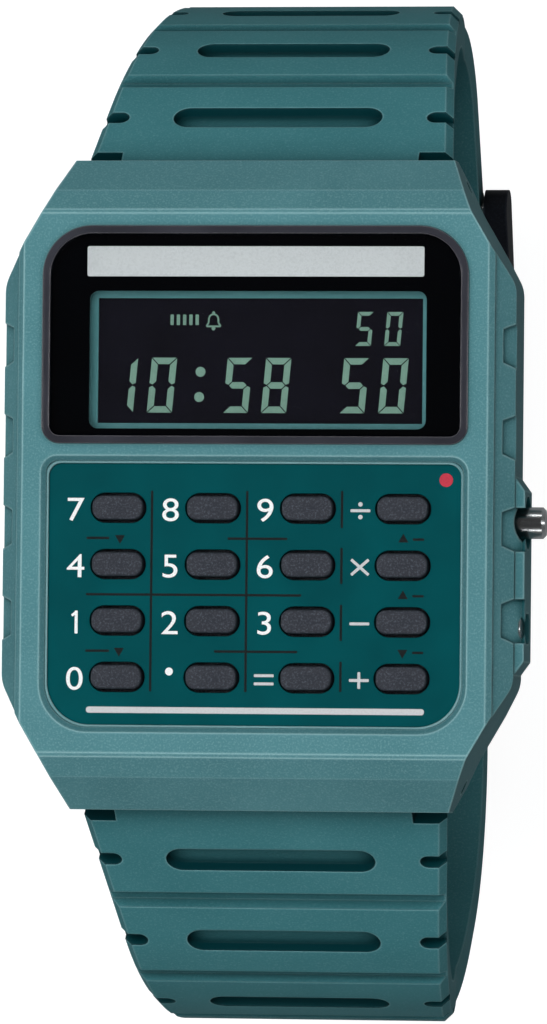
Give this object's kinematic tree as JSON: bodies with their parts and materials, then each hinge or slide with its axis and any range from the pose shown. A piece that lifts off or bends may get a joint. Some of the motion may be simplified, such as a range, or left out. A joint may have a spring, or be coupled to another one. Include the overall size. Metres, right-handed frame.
{
  "type": "calculator wristwatch",
  "caption": "Digital calculator wristwatch with a moulded resin case, sunk number keypad, liquid crystal window, side buttons and a resin strap closed by a tongue buckle.",
  "frame": {"origin": "centre of the outer face of the cover on the watch's back", "axes": "+Z out of the face, +Y towards the twelve o'clock end of the case, +X towards the side with the buttons"},
  "size_m": [0.0361, 0.0703, 0.0557],
  "materials": {
    "case_resin": "matte moulded",
    "strap_resin": "matte moulded",
    "window_rim": "gloss",
    "window_glass": "polished",
    "mask_black": "gloss",
    "display_surround": "matte",
    "display_cell": "satin",
    "contact_rubber": "matte",
    "keypad_panel": "satin",
    "key_plastic": "fine grained",
    "sheet_rubber": "matte",
    "board_laminate": "satin",
    "chip_resin": "matte",
    "can_metal": "satin",
    "frame_plastic": "matte",
    "battery_steel": "satin",
    "spring_steel": "satin",
    "brass_sheet": "satin",
    "cover_steel": "brushed",
    "screw_steel": "satin",
    "seal_rubber": "matte",
    "button_metal": "satin",
    "buckle_resin": "satin",
    "buckle_steel": "satin"
  },
  "bodies": {
    "case": {"adjust_seal": "seal_rubber", "battery": "battery_steel", "battery_clip": "spring_steel", "buzzer_contact": "brass_sheet", "buzzer_disc": "brass_sheet", "case_body": "case_resin", "circuit_board": "board_laminate", "contact_strips": "contact_rubber", "control_chip": "chip_resin", "cover_gasket": "seal_rubber", "cover_screws": "screw_steel", "display_cell": "display_cell", "display_mask": "mask_black", "display_surround": "display_surround", "key_sheet": "sheet_rubber", "keypad_panel": "keypad_panel", "lower_spring_bar": "spring_steel", "module_frame": "frame_plastic", "pusher_seal": "seal_rubber", "quartz_can": "can_metal", "rear_cover": "cover_steel", "upper_spring_bar": "spring_steel", "window_glass": "window_glass", "window_ring": "window_rim"},
    "mode_pusher": {"mode_pusher": "button_metal", "pusher_clip": "spring_steel"},
    "adjust_button": {"adjust_button": "button_metal", "adjust_clip": "spring_steel"},
    "upper_strap": {"upper_strap": "strap_resin"},
    "buckle": {"buckle_frame": "buckle_resin", "buckle_pin": "buckle_steel"},
    "tongue": {"buckle_tongue": "buckle_steel"},
    "lower_strap": {"lower_strap": "strap_resin", "strap_tail": "strap_resin"},
    "key_7": {"key_7": "key_plastic"},
    "key_8": {"key_8": "key_plastic"},
    "key_9": {"key_9": "key_plastic"},
    "key_divide": {"key_divide": "key_plastic"},
    "key_4": {"key_4": "key_plastic"},
    "key_5": {"key_5": "key_plastic"},
    "key_6": {"key_6": "key_plastic"},
    "key_times": {"key_times": "key_plastic"},
    "key_1": {"key_1": "key_plastic"},
    "key_2": {"key_2": "key_plastic"},
    "key_3": {"key_3": "key_plastic"},
    "key_minus": {"key_minus": "key_plastic"},
    "key_0": {"key_0": "key_plastic"},
    "key_point": {"key_point": "key_plastic"},
    "key_equals": {"key_equals": "key_plastic"},
    "key_plus": {"key_plus": "key_plastic"}
  },
  "joints": [
    {"name": "key_7_press", "type": "slide", "parent": "case", "child": "key_7", "axis": [0, 0, -1], "range_m": [0, 0.00035], "stiffness_N_per_m": 150},
    {"name": "key_8_press", "type": "slide", "parent": "case", "child": "key_8", "axis": [0, 0, -1], "range_m": [0, 0.00035], "stiffness_N_per_m": 150},
    {"name": "key_9_press", "type": "slide", "parent": "case", "child": "key_9", "axis": [0, 0, -1], "range_m": [0, 0.00035], "stiffness_N_per_m": 150},
    {"name": "key_divide_press", "type": "slide", "parent": "case", "child": "key_divide", "axis": [0, 0, -1], "range_m": [0, 0.00035], "stiffness_N_per_m": 150},
    {"name": "key_4_press", "type": "slide", "parent": "case", "child": "key_4", "axis": [0, 0, -1], "range_m": [0, 0.00035], "stiffness_N_per_m": 150},
    {"name": "key_5_press", "type": "slide", "parent": "case", "child": "key_5", "axis": [0, 0, -1], "range_m": [0, 0.00035], "stiffness_N_per_m": 150},
    {"name": "key_6_press", "type": "slide", "parent": "case", "child": "key_6", "axis": [0, 0, -1], "range_m": [0, 0.00035], "stiffness_N_per_m": 150},
    {"name": "key_times_press", "type": "slide", "parent": "case", "child": "key_times", "axis": [0, 0, -1], "range_m": [0, 0.00035], "stiffness_N_per_m": 150},
    {"name": "key_1_press", "type": "slide", "parent": "case", "child": "key_1", "axis": [0, 0, -1], "range_m": [0, 0.00035], "stiffness_N_per_m": 150},
    {"name": "key_2_press", "type": "slide", "parent": "case", "child": "key_2", "axis": [0, 0, -1], "range_m": [0, 0.00035], "stiffness_N_per_m": 150},
    {"name": "key_3_press", "type": "slide", "parent": "case", "child": "key_3", "axis": [0, 0, -1], "range_m": [0, 0.00035], "stiffness_N_per_m": 150},
    {"name": "key_minus_press", "type": "slide", "parent": "case", "child": "key_minus", "axis": [0, 0, -1], "range_m": [0, 0.00035], "stiffness_N_per_m": 150},
    {"name": "key_0_press", "type": "slide", "parent": "case", "child": "key_0", "axis": [0, 0, -1], "range_m": [0, 0.00035], "stiffness_N_per_m": 150},
    {"name": "key_point_press", "type": "slide", "parent": "case", "child": "key_point", "axis": [0, 0, -1], "range_m": [0, 0.00035], "stiffness_N_per_m": 150},
    {"name": "key_equals_press", "type": "slide", "parent": "case", "child": "key_equals", "axis": [0, 0, -1], "range_m": [0, 0.00035], "stiffness_N_per_m": 150},
    {"name": "key_plus_press", "type": "slide", "parent": "case", "child": "key_plus", "axis": [0, 0, -1], "range_m": [0, 0.00035], "stiffness_N_per_m": 150},
    {"name": "mode_pusher_press", "type": "slide", "parent": "case", "child": "mode_pusher", "axis": [-1, 0, 0], "range_m": [0, 0.0006], "stiffness_N_per_m": 300},
    {"name": "adjust_button_press", "type": "slide", "parent": "case", "child": "adjust_button", "axis": [-1, 0, 0], "range_m": [0, 0.0004], "stiffness_N_per_m": 300},
    {"name": "upper_strap_swing", "type": "hinge", "parent": "case", "child": "upper_strap", "pos_m": [0, 0.0199, 0.0024], "axis": [1, 0, 0], "range_deg": [0, 40]},
    {"name": "lower_strap_swing", "type": "hinge", "parent": "case", "child": "lower_strap", "pos_m": [0, -0.0199, 0.0024], "axis": [-1, 0, 0], "range_deg": [0, 40], "deforming": ["strap_tail"]},
    {"name": "buckle_swing", "type": "hinge", "parent": "upper_strap", "child": "buckle", "pos_m": [0, 0.0212, -0.041], "axis": [1, 0, 0], "range_deg": [0, 60]},
    {"name": "tongue_swing", "type": "hinge", "parent": "buckle", "child": "tongue", "pos_m": [0, 0.0212, -0.041], "axis": [1, 0, 0], "range_deg": [0, 45]}
  ]
}
